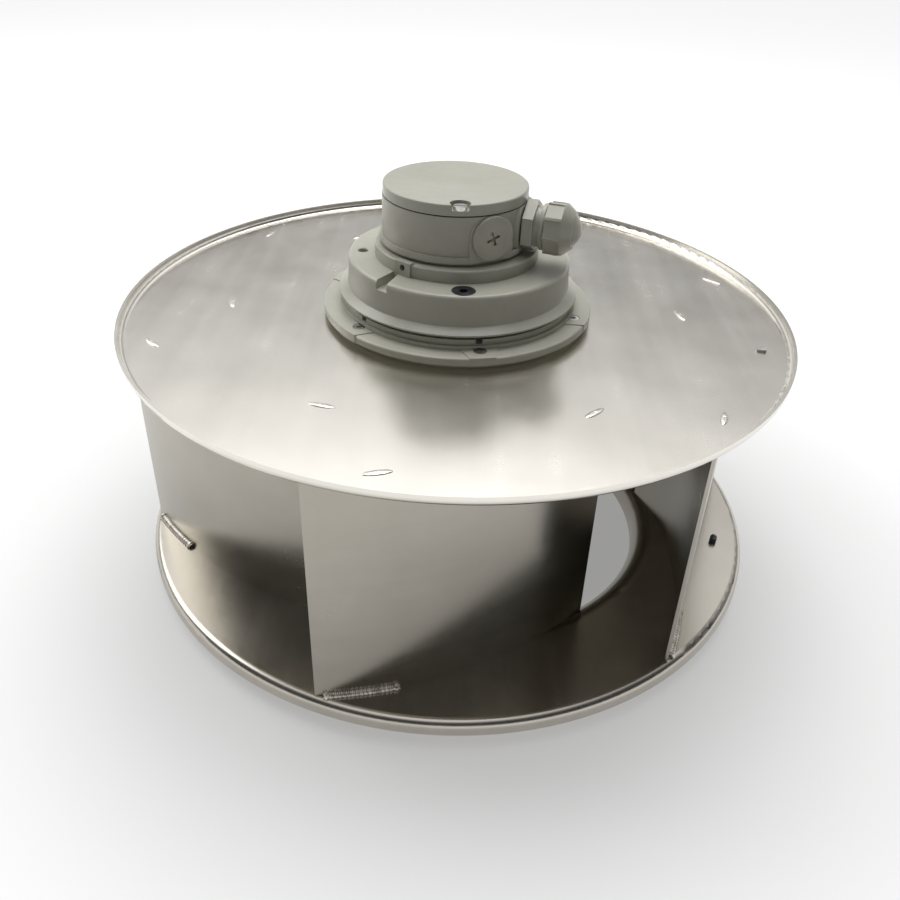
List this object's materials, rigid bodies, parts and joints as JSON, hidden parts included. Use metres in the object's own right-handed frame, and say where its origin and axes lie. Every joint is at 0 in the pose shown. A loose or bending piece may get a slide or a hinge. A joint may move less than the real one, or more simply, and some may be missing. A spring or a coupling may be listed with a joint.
{
  "type": "centrifugal fan",
  "caption": "Backward-curved centrifugal fan wheel with a rolled back disc, a drawn inlet plate and curved sheet blades, turning on an external-rotor motor with a round terminal box.",
  "frame": {"origin": "middle of the inlet collar's lower edge, on the shaft's axis, which is the bottom centre of the whole fan's box", "axes": "+Z along the shaft from the inlet to the motor; +X to the side the cable gland looks to; -Y to the side with the lid screw and the blanking plug"},
  "size_m": [0.4599, 0.46, 0.2783],
  "materials": {
    "motor_paint": "satin warm grey paint on cast aluminium",
    "sheet_aluminium": "satin rolled sheet",
    "cast_aluminium": "as cast and machined",
    "bright_steel": "zinc plated",
    "dark_steel": "black oxide",
    "core_steel": "stacked laminations",
    "copper": "varnished copper wire",
    "brass": "plain",
    "cream_plastic": "moulded",
    "grey_plastic": "moulded, warm grey",
    "black_rubber": "matt"
  },
  "bodies": {
    "motor_stator": {"stator_housing": "motor_paint", "terminal_box": "motor_paint", "box_lid": "motor_paint", "bearing_carrier": "cast_aluminium", "bearing_cap": "bright_steel", "preload_spring": "bright_steel", "stator_core": "core_steel", "stator_winding": "copper", "end_insulator_lower": "cream_plastic", "end_insulator_upper": "cream_plastic", "upper_bearing_outer": "bright_steel", "lower_bearing_outer": "bright_steel", "housing_screws": "dark_steel", "grub_screw": "dark_steel", "box_screws": "bright_steel", "lid_screw": "bright_steel", "lid_seal": "black_rubber", "plug_seal": "black_rubber", "blanking_plug": "grey_plastic", "gland_seal": "black_rubber", "gland_body": "grey_plastic", "gland_lock_nut": "grey_plastic", "gland_nut": "grey_plastic", "gland_sleeve": "black_rubber", "gland_insert": "grey_plastic", "terminal_block": "cream_plastic", "terminal_screws": "brass", "lead_sleeve": "black_rubber"},
    "fan_rotor": {"rotor_bell": "motor_paint", "back_plate": "sheet_aluminium", "front_plate": "sheet_aluminium", "blade_1": "sheet_aluminium", "blade_2": "sheet_aluminium", "blade_3": "sheet_aluminium", "blade_4": "sheet_aluminium", "blade_5": "sheet_aluminium", "blade_6": "sheet_aluminium", "flange_screws": "bright_steel", "flange_nuts": "bright_steel", "balance_weight_back": "bright_steel", "balance_weight_front": "dark_steel", "shaft": "bright_steel", "shaft_retaining_ring": "dark_steel", "rotor_core": "core_steel", "rotor_cage": "cast_aluminium", "upper_bearing_inner": "bright_steel", "lower_bearing_inner": "bright_steel"},
    "upper_ball_set": {"upper_bearing_balls": "bright_steel"},
    "lower_ball_set": {"lower_bearing_balls": "bright_steel"}
  },
  "joints": [
    {"name": "impeller_spin", "type": "hinge", "parent": "motor_stator", "child": "fan_rotor", "pos_m": [0, 0, 0], "axis": [0, 0, 1], "continuous": true},
    {"name": "upper_ball_orbit", "type": "hinge", "parent": "motor_stator", "child": "upper_ball_set", "pos_m": [0, 0, 0], "axis": [0, 0, 1], "continuous": true},
    {"name": "lower_ball_orbit", "type": "hinge", "parent": "motor_stator", "child": "lower_ball_set", "pos_m": [0, 0, 0], "axis": [0, 0, 1], "continuous": true}
  ],
  "couplings": [
    {"joint": "upper_ball_orbit", "follows": "impeller_spin", "ratio": 0.38},
    {"joint": "lower_ball_orbit", "follows": "impeller_spin", "ratio": 0.38}
  ]
}
